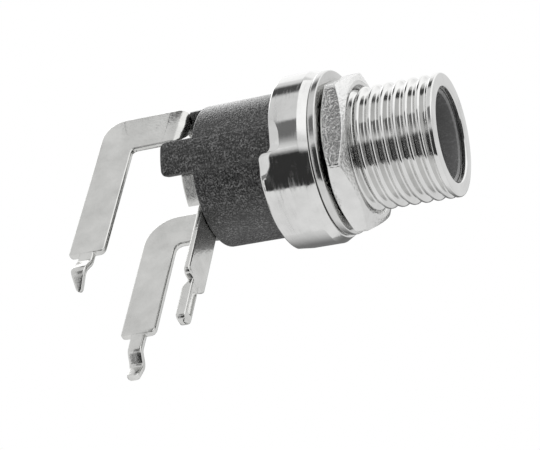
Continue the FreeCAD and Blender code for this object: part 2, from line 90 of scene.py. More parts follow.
def fillet(track: np.ndarray, radii: Sequence[float], closed: bool = False,
           steps: int = 4) -> np.ndarray:
    """Round the corners of a track with true arcs.

    Each corner gives way to a rational quadratic curve from the place one
    tangent length before it to the place one after it. With the middle weight
    equal to the sine of half the inner angle, that curve is a circular arc.

    Args:
        track: Corner points, first axis along the track, last axis x, y, ...
        radii: Radius at each corner, 0 for a sharp one.
        closed: Whether the last corner leads back to the first.
        steps: Pieces in each arc.

    Returns:
        The track with its arcs, same axes as it came in.
    """
    rows = []
    count = len(track)
    for i in range(count):
        here = track[i]
        if radii[i] <= 0 or (not closed and i in (0, count - 1)):
            rows.append(here)
            continue
        back = track[i - 1] - here
        ahead = track[(i + 1) % count] - here
        back_length = np.linalg.norm(back, axis=-1, keepdims=True) + TINY
        ahead_length = np.linalg.norm(ahead, axis=-1, keepdims=True) + TINY
        back, ahead = back / back_length, ahead / ahead_length
        inner = np.arccos(np.clip((back * ahead).sum(-1, keepdims=True), -1.0, 1.0))
        reach = radii[i] / np.maximum(np.tan(inner / 2), 1e-3)
        longest = CORNER_SHARE * np.minimum(back_length, ahead_length)
        reach = np.minimum(reach, longest)
        weight = np.sin(inner / 2)
        start, end = here + back * reach, here + ahead * reach
        for t in np.linspace(0.0, 1.0, steps + 1):
            a, b, c = (1 - t) ** 2, 2 * weight * t * (1 - t), t * t
            rows.append((a * start + b * here + c * end) / (a + b + c))
    return np.array(rows)


def resample(track: np.ndarray, step: float) -> np.ndarray:
    """Add even points on the long runs of a track, and keep its own points.

    Args:
        track: Points, one per row.
        step: Longest distance between two neighbours.

    Returns:
        The points with the added ones between them.
    """
    lengths = np.linalg.norm(np.diff(track, axis=0), axis=1)
    along = np.concatenate([[0.0], np.cumsum(lengths)])
    parts = [np.linspace(along[i], along[i + 1], max(1, math.ceil(n / step)),
                         endpoint=False) for i, n in enumerate(lengths)]
    wanted = np.concatenate(parts + [along[-1:]])
    return np.stack([np.interp(wanted, along, track[:, k])
                     for k in range(track.shape[1])], axis=1)


def points_at(x: Value, y: Value, z: Value) -> np.ndarray:
    """Points from their x, y and z, each an array or one number for all."""
    return np.stack(np.broadcast_arrays(x, y, z), axis=-1)


def around_axis(x: Value, radius: Value, angle: Value) -> np.ndarray:
    """Points round the X axis: -Y at 0 degrees, -Z at 90; y is -r cos, z is -r sin."""
    turn = np.radians(angle)
    return points_at(x, -radius * np.cos(turn), -radius * np.sin(turn))


def new_mesh(name: str, points: np.ndarray, faces: list) -> bpy.types.Mesh:
    """Make a mesh.

    Args:
        name: Name of the mesh.
        points: Points in mm, one per row.
        faces: Numbers of the points at the corners of each face.

    Returns:
        The mesh, in metres.
    """
    mesh = bpy.data.meshes.new(name)
    mesh.from_pydata((points * MM).tolist(), [], faces)
    return mesh


def new_object(name: str, data: bpy.types.ID) -> bpy.types.Object:
    """Make an object and put it in the scene.

    Args:
        name: Name of the object.
        data: Its mesh, light or camera.

    Returns:
        The object, at the origin.
    """
    thing = bpy.data.objects.new(name, data)
    bpy.context.scene.collection.objects.link(thing)
    return thing


class Shell:
    """Collects grids of one piece and joins them into one mesh."""

    def __init__(self) -> None:
        """Start with no points."""
        self.points: list = []
        self.faces: list = []
        self.count = 0

    def add_points(self, points: np.ndarray) -> int:
        """Keep points for the mesh.

        Args:
            points: Any array with x, y, z on its last axis.

        Returns:
            The number of the first of them.
        """
        start = self.count
        self.points.append(points.reshape(-1, 3))
        self.count += self.points[-1].shape[0]
        return start

    def grid(self, surface: np.ndarray, wrap_rows: bool = False,
             wrap_columns: bool = False) -> "Shell":
        """Lay quads over a surface given as a grid of points.

        Args:
            surface: Points, rows by columns by 3.
            wrap_rows: Whether the last row leads back to the first.
            wrap_columns: Whether the last column leads back to the first.

        Returns:
            This shell.
        """
        rows, columns = surface.shape[:2]
        index = np.arange(rows * columns).reshape(rows, columns)
        index = index + self.add_points(surface)
        if wrap_rows:
            index = np.concatenate([index, index[:1]])
        if wrap_columns:
            index = np.concatenate([index, index[:, :1]], axis=1)
        quads = np.stack([index[:-1, :-1], index[1:, :-1], index[1:, 1:],
                          index[:-1, 1:]], axis=-1)
        self.faces.extend(quads.reshape(-1, 4).tolist())
        return self

    def cap(self, loop: np.ndarray) -> "Shell":
        """Close a loop with a fan round its middle.

        Args:
            loop: Points of the loop, the first not repeated at its end.

        Returns:
            This shell.
        """
        middle = loop.mean(axis=0, keepdims=True)
        start = self.add_points(np.concatenate([loop, middle]))
        ring = np.arange(len(loop)) + start
        hub = np.full(len(loop), start + len(loop))
        self.faces.extend(np.stack([ring, np.roll(ring, -1), hub], axis=1).tolist())
        return self

    def tube(self, loops: np.ndarray) -> "Shell":
        """Lay a closed skin over loops that follow each other, capped at both ends."""
        return self.grid(loops, wrap_columns=True).cap(loops[0]).cap(loops[-1])

    def strip(self, left: np.ndarray, right: np.ndarray, thickness: float,
              edge: float = 0.13) -> "Shell":
        """Sheet metal between two edge curves, with rolled-over stamped edges.

        At each station the section is a rectangle as wide as the distance
        between the two edges and as thick as the sheet, its four corners
        rounded by the edge radius. The sheet's normal is across the width and
        across the way the middle line runs.

        Args:
            left: One edge on the middle plane, one point per station.
            right: The other edge, same stations.
            thickness: Thickness of the sheet.
            edge: Radius of the four corners of the section.

        Returns:
            This shell.
        """
        span = right - left
        width = np.linalg.norm(span, axis=1, keepdims=True)
        across = span / np.maximum(width, 1e-6)
        run = np.gradient((left + right) / 2, axis=0)
        run = run - (run * across).sum(1, keepdims=True) * across
        size = np.linalg.norm(run, axis=1)
        moving = np.where(size > STILL, np.arange(len(size)), 0)
        moving = np.maximum.accumulate(moving)
        run = run[moving] / np.maximum(size[moving], TINY)[:, None]
        normal = np.cross(across, run)
        turn = np.radians([start + step for start in (180, 270, 0, 90)
                           for step in (0, 30, 60, 90)])
        on_right = np.array([0] * 4 + [1] * 8 + [0] * 4, dtype=float)
        high = np.array([-1] * 8 + [1] * 8, dtype=float)
        soft = np.minimum(edge, width / 2.2)[:, :, None]  # smaller at a narrow end
        base = left[:, None] + span[:, None] * on_right[None, :, None]
        inward = soft * np.where(on_right > 0, -1, 1)[None, :, None]
        side = inward + soft * np.cos(turn)[None, :, None]
        lift = high[None, :, None] * (thickness / 2 - soft)
        lift = lift + soft * np.sin(turn)[None, :, None]
        loops = base + across[:, None] * side + normal[:, None] * lift
        return self.tube(loops)

    def build(self, name: str, sharp: float = 38.0) -> bpy.types.Object:
        """Make the Blender object, with seams joined and faces outwards.

        Large faces pull the shading normals, so flats stay flat beside their
        rounded edges.

        Args:
            name: Name of the object.
            sharp: Edges that turn by more degrees than this stay sharp.

        Returns:
            The object, at the origin.
        """
        mesh = new_mesh(name, np.concatenate(self.points), self.faces)
        work = bmesh.new()
        work.from_mesh(mesh)
        bmesh.ops.remove_doubles(work, verts=work.verts, dist=MERGE_M)
        bmesh.ops.dissolve_degenerate(work, edges=work.edges, dist=MERGE_M)
        bmesh.ops.recalc_face_normals(work, faces=work.faces)
        work.to_mesh(mesh)
        work.free()
        mesh.shade_smooth()
        mesh.set_sharp_from_angle(angle=math.radians(sharp))
        thing = new_object(name, mesh)
        thing.modifiers.new("even_shading", "WEIGHTED_NORMAL").keep_sharp = True
        return thing


# ---------------------------------------------------------------- finishes


def linear(code: str) -> tuple:
    """Turn an sRGB hex colour into the linear one that the shader takes.

    A part up to 0.04045 is divided by 12.92. To a larger one 0.055 is added,
    the sum is divided by 1.055 and raised to the power 2.4.

    Args:
        code: The colour as #rrggbb.

    Returns:
        Red, green, blue and an alpha of 1.
    """
    parts = [int(code[i:i + 2], 16) / 255 for i in (1, 3, 5)]
    values = [c / 12.92 if c <= 0.04045 else ((c + 0.055) / 1.055) ** 2.4 for c in parts]
    return (*values, 1.0)


def add_node(tree: bpy.types.NodeTree, kind: str, inputs: Optional[dict] = None,
             **settings: object) -> bpy.types.Node:
    """Add a node with its settings, values and links.

    Args:
        tree: Node tree that takes the node.
        kind: Blender's type name of the node.
        inputs: Value or source socket for each input, by name or number.
        **settings: Properties of the node itself.

    Returns:
        The node.
    """
    node = tree.nodes.new(kind)
    for key, value in settings.items():
        setattr(node, key, value)
    for key, value in (inputs or {}).items():
        if isinstance(value, bpy.types.NodeSocket):
            tree.links.new(value, node.inputs[key])
        else:
            node.inputs[key].default_value = value
    return node


def empty_material(name: str) -> tuple:
    """Make a node material with nothing in it.

    Args:
        name: Name of the material.

    Returns:
        The material and its node tree.
    """
    material = bpy.data.materials.new(name)
    material.use_nodes = True
    material.node_tree.nodes.clear()
    return material, material.node_tree


def per_mm(size: float) -> float:
    """Scale of a pattern on Object coordinates whose marks are this many mm apart."""
    return 1.0 / (size * MM)


def noise_on(tree: bpy.types.NodeTree, size: float, stretch: tuple = (1, 1, 1),
             detail: float = 3.0, rough: float = 0.55) -> bpy.types.NodeSocket:
    """Fractal noise on Object coordinates.

    Args:
        tree: Node tree that takes the nodes.
        size: Distance between two marks in mm.
        stretch: Share of that scale along each axis, small for long streaks.
        detail: Number of finer layers.
        rough: Strength of the finer layers.

    Returns:
        The noise value, 0 to 1.
    """
    place = add_node(tree, "ShaderNodeTexCoord").outputs["Object"]
    mapped = add_node(tree, "ShaderNodeMapping", {"Vector": place, "Scale": stretch})
    noise = add_node(tree, "ShaderNodeTexNoise", {
        "Vector": mapped.outputs[0], "Scale": per_mm(size), "Detail": detail,
        "Roughness": rough})
    return noise.outputs["Fac"]


def coat(tree: bpy.types.NodeTree, colour: bpy.types.Node, gloss: bpy.types.Node,
         reliefs: Sequence[tuple], values: dict) -> None:
    """Add the shader of a solid surface and the material's output.

    Args:
        tree: Node tree that takes the nodes.
        colour: Mix node that gives the base colour.
        gloss: Map Range node that gives the roughness.
        reliefs: Height socket and height in mm of each relief, each laid on the last.
        values: Numbers that are the same all over the surface.
    """
    normal = {}
    for height, depth in reliefs:
        bump = add_node(tree, "ShaderNodeBump", {
            "Height": height, "Strength": 1.0, "Distance": depth * MM, **normal})
        normal = {"Normal": bump.outputs[0]}
    surface = add_node(tree, "ShaderNodeBsdfPrincipled", {
        "Base Color": colour.outputs[MIXED], "Roughness": gloss.outputs[0],
        **values, **normal})
    add_node(tree, "ShaderNodeOutputMaterial", {"Surface": surface.outputs[0]})


@dataclass(frozen=True)
class PlatedMetal:
    """Plated brass: colour varies a little, gloss by grain and handling marks.

    Turned and plated brass mirrors its surroundings, and its faint cutting
    lines and dull patches spread each reflection a little.
    """

    name: str
    light: str
    dark: str
    gloss_low: float        # roughness of the brightest spots
    gloss_high: float       # roughness of the dullest spots
    grain: float            # distance between grains in mm
    grain_depth: float      # height of the grains in mm
    streak: tuple = (1.0, 1.0, 1.0)
    streak_depth: float = 0.0
    line_gap: float = 0.12  # distance between cutting lines in mm
    patch_gap: float = 1.6  # distance between dull patches in mm

    def build(self) -> bpy.types.Material:
        """Make the node material.

        Returns:
            The material.
        """
        material, tree = empty_material(self.name)
        patches = noise_on(tree, self.patch_gap, detail=4.0)
        fine = noise_on(tree, self.grain, detail=2.0)
        drawn = noise_on(tree, self.line_gap, stretch=self.streak, detail=2.0)
        share = add_node(tree, "ShaderNodeMapRange", {
            "Value": patches, "From Min": NOISE_SPAN[0], "From Max": NOISE_SPAN[1]})
        colour = add_node(tree, "ShaderNodeMix", {
            MIX_SHARE: share.outputs[0], MIX_FIRST: linear(self.light),
            MIX_SECOND: linear(self.dark)}, data_type="RGBA")
        both = add_node(tree, "ShaderNodeMath", {0: patches, 1: drawn},
                        operation="MULTIPLY")
        gloss = add_node(tree, "ShaderNodeMapRange", {
            "Value": both.outputs[0], "From Min": PRODUCT_SPAN[0],
            "From Max": PRODUCT_SPAN[1], "To Min": self.gloss_low,
            "To Max": self.gloss_high})
        coat(tree, colour, gloss, [(fine, self.grain_depth), (drawn, self.streak_depth)],
             {"Metallic": 1.0})
        return material


@dataclass(frozen=True)
class MouldedPlastic:
    """Black glass-filled PBT: spark-eroded mould texture with flow streaks, and pale flecks
    on its pits as painted glints.
    """

    name: str = "black_glass_filled_pbt"
    deep: str = "#161616"
    pale: str = "#7e7e7e"
    grain: float = 0.12     # spark pits, drawn coarser than the real 0.03 mm so they show
    grain_depth: float = 0.050
    gloss_low: float = 0.10
    gloss_high: float = 0.24
    flow_depth: float = 0.004
    flow_gap: float = 0.34  # distance between flow streaks in mm
    flow_stretch: tuple = (0.35, 1.0, 1.0)
    glint_span: tuple = (0.45, 0.70)    # pits above this noise get the pale colour, as painted glints
    glint_least: float = 0.10           # share of them left between the streaks
    ior: float = 1.57

    def build(self) -> bpy.types.Material:
        """Make the node material.

        Returns:
            The material.
        """
        material, tree = empty_material(self.name)
        flow = noise_on(tree, self.flow_gap, self.flow_stretch, detail=4.0, rough=0.65)
        pits = noise_on(tree, self.grain, detail=2.0, rough=0.5)
        light = add_node(tree, "ShaderNodeMapRange", {
            "Value": pits, "From Min": self.glint_span[0],
            "From Max": self.glint_span[1]})
        where = add_node(tree, "ShaderNodeMapRange", {
            "Value": flow, "From Min": NOISE_SPAN[0], "From Max": NOISE_SPAN[1],
            "To Min": self.glint_least})
        # Pale colour on the high pits is painted glints, fewer between the flow streaks
        painted_glint = add_node(tree, "ShaderNodeMath", {
            0: light.outputs[0], 1: where.outputs[0]}, operation="MULTIPLY")
        colour = add_node(tree, "ShaderNodeMix", {
            MIX_SHARE: painted_glint.outputs[0], MIX_FIRST: linear(self.deep),
            MIX_SECOND: linear(self.pale)}, data_type="RGBA")
        gloss = add_node(tree, "ShaderNodeMapRange", {
            "Value": flow, "From Min": NOISE_SPAN[0], "From Max": NOISE_SPAN[1],
            "To Min": self.gloss_low, "To Max": self.gloss_high})
        coat(tree, colour, gloss, [(pits, self.grain_depth), (flow, self.flow_depth)],
             {"Metallic": 0.0, "IOR": self.ior})
        return material


# Bright nickel on turned brass: a mirror with fine turning lines round the axis
BUSHING_NICKEL = PlatedMetal("bright_nickel_on_turned_brass", "#dededd", "#d2d2d1",
                             0.03, 0.30, 0.20, 0.0010, (1.0, 0.06, 0.06), 0.0020)
# The nut is rolled in a barrel with its plating, which leaves it stippled and dull
NUT_NICKEL = PlatedMetal("barrel_plated_nickel_nut", "#e0e0df", "#d2d2d1",
                         0.12, 0.20, 0.19, 0.0460)
# Nickel on a stamped washer: smoother than the nut, duller than the bushing
WASHER_NICKEL = PlatedMetal("nickel_on_stamped_washer", "#d4d4d3", "#c6c6c5",
                            0.14, 0.24, 0.16, 0.0025)
# Matte tin over stamped brass: a soft mirror with dull patches
TERMINAL_TIN = PlatedMetal("matte_tin_on_stamped_brass", "#dadad8", "#c8c8c6",
                           0.16, 0.28, 0.16, 0.0090)
# Nickel on a turned pin: smooth, with a soft shine
PIN_NICKEL = PlatedMetal("nickel_on_turned_pin", "#d4d4d3", "#c8c8c7",
                         0.12, 0.20, 0.15, 0.0010)
# Glass-filled PBT from a spark-eroded mould: black, its fine grain flecked pale as painted
# glints
BLACK_PBT = MouldedPlastic()
# Black liner painted mid grey with paler streaks along it: painted light and painted
# reflections in the bore. Its grain is smooth
PAINTED_LIGHT_LINER_PBT = MouldedPlastic("liner_pbt_painted_light", "#6c6c6c", "#808080", 0.13, 0.001,
                            0.20, 0.30, 0.002)


def dress(piece: bpy.types.Object, material: bpy.types.Material, body: Body,
          nodes: Sequence[str]) -> None:
    """Give a piece its material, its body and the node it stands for.

    Args:
        piece: The new piece.
        material: Its finish.
        body: The body that it rides on.
        nodes: CAD nodes that it stands for.
    """
    piece.data.materials.append(material)
    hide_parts(*nodes)
    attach(piece, body.value)
    LOG.info("%s: %d points, %d faces", piece.name, len(piece.data.vertices),
             len(piece.data.polygons))


# ---------------------------------------------------------------- turned parts


@dataclass
class Thread:
    """Right-hand 60 degree thread along X, its crests and roots rounded."""

    major_r: float = 3.97
    depth: float = 0.38
    pitch: float = 0.794
    start_x: float = 0.73       # a root crosses angle 0 here
    root: float = 0.02          # the flank starts to rise here, as a share of the pitch
    crest: float = 0.45         # and ends its rise here; 0.5 is the middle of the crest
    rows: int = 20              # rows of points for each pitch

    def height(self, share: np.ndarray) -> np.ndarray:
        """Share of the depth at each share of the pitch: 0 in the root, 1 on the crest."""
        fold = np.abs(((share + 0.5) % 1.0) - 0.5)
        return smooth_step(fold, self.root, self.crest)

    def surface(self, low_x: float, high_x: float, angles: np.ndarray, fade_low: float,
                fade_high: float, grow: float = 0.0) -> np.ndarray:
        """Grid of the thread between two planes.

        A row follows the helix: its x is the start plus one pitch for each
        turn of the angle plus the row's own share of the pitch, held between
        the two planes. The radius is the major radius less the depth times
        one minus the section's height, and the depth fades out near both ends.

        Args:
            low_x: Plane where the thread starts.
            high_x: Plane where it ends.
            angles: Columns in degrees, 0 to 360.
            fade_low: Length over which it fades in.
            fade_high: Length over which it fades out.
            grow: Added to the radius, for the thread inside the nut.

        Returns:
            Points, rows by columns by 3.
        """
        shares = np.linspace(0.0, 1.0, self.rows, endpoint=False)
        turns = np.arange(math.floor((low_x - self.start_x) / self.pitch) - 2,
                          math.ceil((high_x - self.start_x) / self.pitch) + 2)
        rows = (turns[:, None] + shares[None, :]).ravel()
        x = self.start_x + self.pitch * (rows[:, None] + angles[None, :] / 360.0)
        x = np.clip(x, low_x, high_x)
        share = (x - self.start_x) / self.pitch - angles[None, :] / 360.0
        fade = window(x, (low_x, low_x + fade_low), (high_x - fade_high, high_x))
        radius = self.major_r + grow - self.depth * fade * (1.0 - self.height(share))
        return around_axis(x, radius, angles[None, :])


def even_angles(count: int, extra: Sequence[float] = ()) -> np.ndarray:
    """Columns round the axis in degrees, 0 and 360 both in, with extra ones added."""
    return np.unique(np.concatenate([np.linspace(0, 360, count + 1), extra]).round(5))


def turned(profile: Sequence[tuple], angles: np.ndarray, closed: bool = False,
           steps: int = 4) -> np.ndarray:
    """Carry a profile round the X axis.

    Each entry is (x, radius, rounding), and x or radius may be an array that
    changes with the angle. The corners are rounded by fillet in the plane
    through the axis, at each angle on its own.

    Args:
        profile: The corners in order.
        angles: Columns in degrees.
        closed: Whether the last corner leads back to the first.
        steps: Pieces in each rounded corner.

    Returns:
        Points, rows by columns by 3.
    """
    flat = [np.stack(np.broadcast_arrays(x, r, angles)[:2], axis=-1) for x, r, _ in profile]
    track = fillet(np.array(flat), [entry[2] for entry in profile], closed, steps)
    return around_axis(track[..., 0], track[..., 1], angles[None, :])


@dataclass
class Bushing:
    """Nickel plated bushing: threaded nose, cup with a stepped rim, rolled lip."""

    thread: Thread
    mouth_x: float = 7.68
    mouth_chamfer: float = 0.20
    lip_r: float = 3.06
    lip_depth: float = 0.40
    bore_chamfer: float = 0.14
    bore_r: float = 3.23
    relief_r: float = 3.45
    relief_x: float = 0.45
    plain_x: float = 7.42       # the last groove has run out here
    cup_r: float = 5.615
    cup_floor: float = 0.95
    cup_in_r: float = 5.115
    edge_length: float = 0.55
    edge_drop: float = 0.30
    long_rim: float = -3.40
    short_rim: float = -2.52
    step_angle: float = 43.0    # the long skirt spans this to its mirror angle
    step_width: float = 9.0     # degrees that the S-shaped step takes
    lip_in_r: float = 4.735
    lip_length: float = 0.50
    rib_angle: float = 27.8
    rib_half: float = 15.2      # half angle of the gap that the lip leaves for the rib
    gap_edge: float = 0.4       # degrees over which the lip ends at that gap
    undercut: float = 0.02      # the skirt is this much wider inside behind the lip
    even_x: float = -1.30       # in front of this the cup is a plain cylinder
    bevel_length: float = 0.72
    bevel_taper: float = 0.32   # how much shorter the bevel is where it starts
    bevel_depth: float = 0.21
    bevel_on: tuple = (14.0, 28.0)      # folded angles over which the bevel grows,
    bevel_deep: tuple = (36.0, 43.0)    # gets deeper by the share bevel_more
    bevel_off: tuple = (46.0, 56.0)     # and ends
    bevel_more: float = 0.3

    @staticmethod
    def folded(angles: np.ndarray) -> np.ndarray:
        """Angles counted from both sides, so the cup's two halves are alike."""
        return np.minimum(angles, 180.0 - angles)

    def step_columns(self) -> np.ndarray:
        """Angles that follow both arcs of the step evenly, on both sides.

        Returns:
            The angles in degrees.
        """
        turn = np.linspace(0, 90, 9)
        first = 0.5 * np.sin(np.radians(turn))
        share = np.concatenate([first, 1.0 - first[::-1]])
        low = self.step_angle - self.step_width + self.step_width * share
        return np.concatenate([low, 180.0 - low])

    def rim(self, angles: np.ndarray) -> np.ndarray:
        """Rear edge of the skirt at each angle.

        It moves from the short to the long skirt along two quarter circles
        that meet at the middle of the step, an S seen from outside.

        Args:
            angles: Columns in degrees.

        Returns:
            The x of the rim.
        """
        past = self.folded(angles) - self.step_angle + self.step_width
        share = np.clip(past / self.step_width, 0, 1)
        low = 0.5 * (1.0 - np.sqrt(np.clip(1.0 - (2 * share) ** 2, 0, 1)))
        high = 0.5 + 0.5 * np.sqrt(np.clip(1.0 - (2 - 2 * share) ** 2, 0, 1))
        rise = np.where(share <= 0.5, low, high)
        return self.short_rim + (self.long_rim - self.short_rim) * rise

    def outer_edge(self, angles: np.ndarray, rim: np.ndarray) -> list:
        """Profile entries of the skirt's outer edge.

        Along the plain rim the edge is only rounded. Near the step, where the
        press drew the metal in, it also leans in by a flat bevel that follows
        the rim.

        Args:
            angles: Columns in degrees.
            rim: The x of the rim at each angle.

        Returns:
            Entries from the end face to the outside of the cup.
        """
        fold = self.folded(angles)
        drawn = window(fold, self.bevel_on, self.bevel_off)
        drawn = drawn * (1.0 + self.bevel_more * smooth_step(fold, *self.bevel_deep))
        length = self.bevel_length - self.bevel_taper * (1.0 - drawn)
        return [
            (rim, self.cup_r - self.bevel_depth * drawn, 0.14),
            (rim + length, self.cup_r, 0.60),
            (rim + length + 0.10, self.cup_r, 0),
            (self.even_x, self.cup_r, 0),
        ]

    def build(self, material: bpy.types.Material) -> None:
        """Make the closed skin: thread, mouth and bore, cup, rim and rolled lip.

        Args:
            material: Its finish.
        """
        gap = span_ends(self.rib_angle, self.rib_half, self.gap_edge)
        angles = even_angles(180, np.concatenate([self.step_columns(), gap]))
        rim = self.rim(angles)
        off = np.abs(angles - self.rib_angle)
        inside = smooth_step(off, self.rib_half, self.rib_half + self.gap_edge)
        long_part = (rim - self.short_rim) / (self.long_rim - self.short_rim)
        lip_r = self.cup_in_r - (self.cup_in_r - self.lip_in_r) * inside
        lip_front = self.short_rim + self.lip_length
        major = self.thread.major_r
        front = [
            (self.plain_x, major, 0),
            (self.mouth_x, major, self.mouth_chamfer),
            (self.mouth_x, self.lip_r, self.bore_chamfer),
            (self.mouth_x - self.lip_depth, self.lip_r, 0.03),
            (self.mouth_x - self.lip_depth, self.bore_r, 0.03),
            (-self.cup_floor, self.bore_r, 0.03),
            (-self.cup_floor, self.cup_in_r, 0.05),
            (lip_front, self.cup_in_r, 0.02),
            (lip_front, lip_r, 0.08),
            (self.short_rim, lip_r, 0.08),
            (self.short_rim - 0.001, self.cup_in_r + self.undercut * long_part, 0.02),
            (rim, self.cup_in_r + self.undercut, 0.08),
            *self.outer_edge(angles, rim),
            (-self.edge_length, self.cup_r, 0.12),
            (0.0, self.cup_r - self.edge_drop, 0.08),
            (0.0, self.relief_r, 0.05),
            (self.relief_x, self.relief_r, 0.05),
            (self.relief_x, major, 0),
        ]
        shell = Shell()
        shell.grid(turned(front, angles, steps=7))
        shell.grid(self.thread.surface(self.relief_x, self.plain_x, angles, 0.5, 0.30))
        dress(shell.build("bushing"), material, Body.JACK, ["threaded_bushing"])


@dataclass
class Nut:
    """Hexagon nut with chamfered faces and a countersunk thread."""

    thread: Thread
    rear_x: float = 0.56
    thick: float = 1.68
    across_flats: float = 9.50
    corner_angle: float = -5.0
    chamfer_r: float = 4.45
    chamfer_angle: float = 26.0
    edge: float = 0.06
    clearance: float = 0.04
    sink: float = 0.22
    sink_lean: float = 0.8      # width of the countersink over its depth
    worn_depth: float = 0.055   # the barrel wore each corner back this far
    worn_width: float = 1.1     # over about this many degrees

    def build(self, material: bpy.types.Material) -> None:
        """Make the closed skin.

        At each angle the hexagon's radius is half the width across flats over
        the cosine of the angle to the nearest flat's middle. The chamfer is a
        cone, so its edge rises towards each corner.

        Args:
            material: Its finish.
        """
        corners = self.corner_angle + 60.0 * np.arange(7)
        near = np.array([-2.2, -1.4, -0.8, -0.3, 0, 0.3, 0.8, 1.4, 2.2])
        near = (corners[:, None] + near).ravel()
        angles = even_angles(180, near[(near > 0) & (near < 360)])
        from_middle = (angles - self.corner_angle) % 60.0 - 30.0
        hexagon = self.across_flats / 2 / np.cos(np.radians(from_middle))
        from_corner = (np.abs(from_middle) - 30.0) / self.worn_width
        hexagon = hexagon - self.worn_depth * np.exp(-from_corner ** 2)
        front_x = self.rear_x + self.thick
        drop = (hexagon - self.chamfer_r) * math.tan(math.radians(self.chamfer_angle))
        bore = self.thread.major_r + self.clearance
        sunk = bore + self.sink * self.sink_lean
        low, high = self.rear_x + self.sink, front_x - self.sink
        profile = [
            (high, bore, 0),
            (front_x, sunk, 0.05),
            (front_x, self.chamfer_r, 0.10),
            (front_x - drop, hexagon, self.edge),
            (self.rear_x + drop, hexagon, self.edge),
            (self.rear_x, self.chamfer_r, 0.10),
            (self.rear_x, sunk, 0.05),
            (low, bore, 0),
        ]
        shell = Shell()
        shell.grid(turned(profile, angles))
        shell.grid(self.thread.surface(low, high, angles, 0.12, 0.12, self.clearance))
        dress(shell.build("hex_nut", sharp=30), material, Body.NUT, ["panel_nut"])


@dataclass
class Washer:
    """Flat washer, its stamped rim softly broken on both sides."""

    x: float = 0.02
    thick: float = 0.52
    outer_r: float = 5.33
    bore_r: float = 4.15
    side: float = -0.105        # it hangs this far off centre on the thread
    up: float = 0.077

    def build(self, material: bpy.types.Material) -> None:
        """Make the closed ring.

        Args:
            material: Its finish.
        """
        far = self.x + self.thick
        angles = even_angles(180)
        profile = [
            (self.x, self.bore_r, 0.05),
            (self.x, self.outer_r, 0.14),
            (far, self.outer_r, 0.10),
            (far, self.bore_r, 0.05),
        ]
        ring = turned(profile, angles, closed=True) + np.array([0.0, self.side, self.up])
        shell = Shell().grid(ring, wrap_rows=True)
        dress(shell.build("washer"), material, Body.WASHER, ["flat_washer"])


@dataclass
class CentrePin:
    """Turned pin: rounded nose, collar on the cross wall, upset head behind the leg."""

    pin_r: float = 1.25
    tip_x: float = 5.70
    nose: float = 0.45
    collar_r: float = 1.95
    collar: tuple = (-6.93, -6.43)
    shank_r: float = 0.85
    head_r: float = 1.35
    head: tuple = (-9.04, -8.64)

    def build(self, material: bpy.types.Material) -> None:
        """Make the closed skin from the head's middle to the nose's middle.

        Args:
            material: Its finish.
        """
        profile = [
            (self.head[0], 0.0, 0),
            (self.head[0], self.head_r, 0.20),
            (self.head[1], self.head_r, 0.06),
            (self.head[1], self.shank_r, 0),
            (self.collar[0], self.shank_r, 0),
            (self.collar[0], self.collar_r, 0.05),
            (self.collar[1], self.collar_r, 0.05),
            (self.collar[1], self.pin_r, 0.03),
            (self.tip_x, self.pin_r, self.nose),
            (self.tip_x, 0.0, 0),
        ]
        shell = Shell().grid(turned(profile, even_angles(64), steps=6))
        dress(shell.build("centre_pin_turned"), material, Body.JACK, ["centre_pin"])


# ---------------------------------------------------------------- moulding


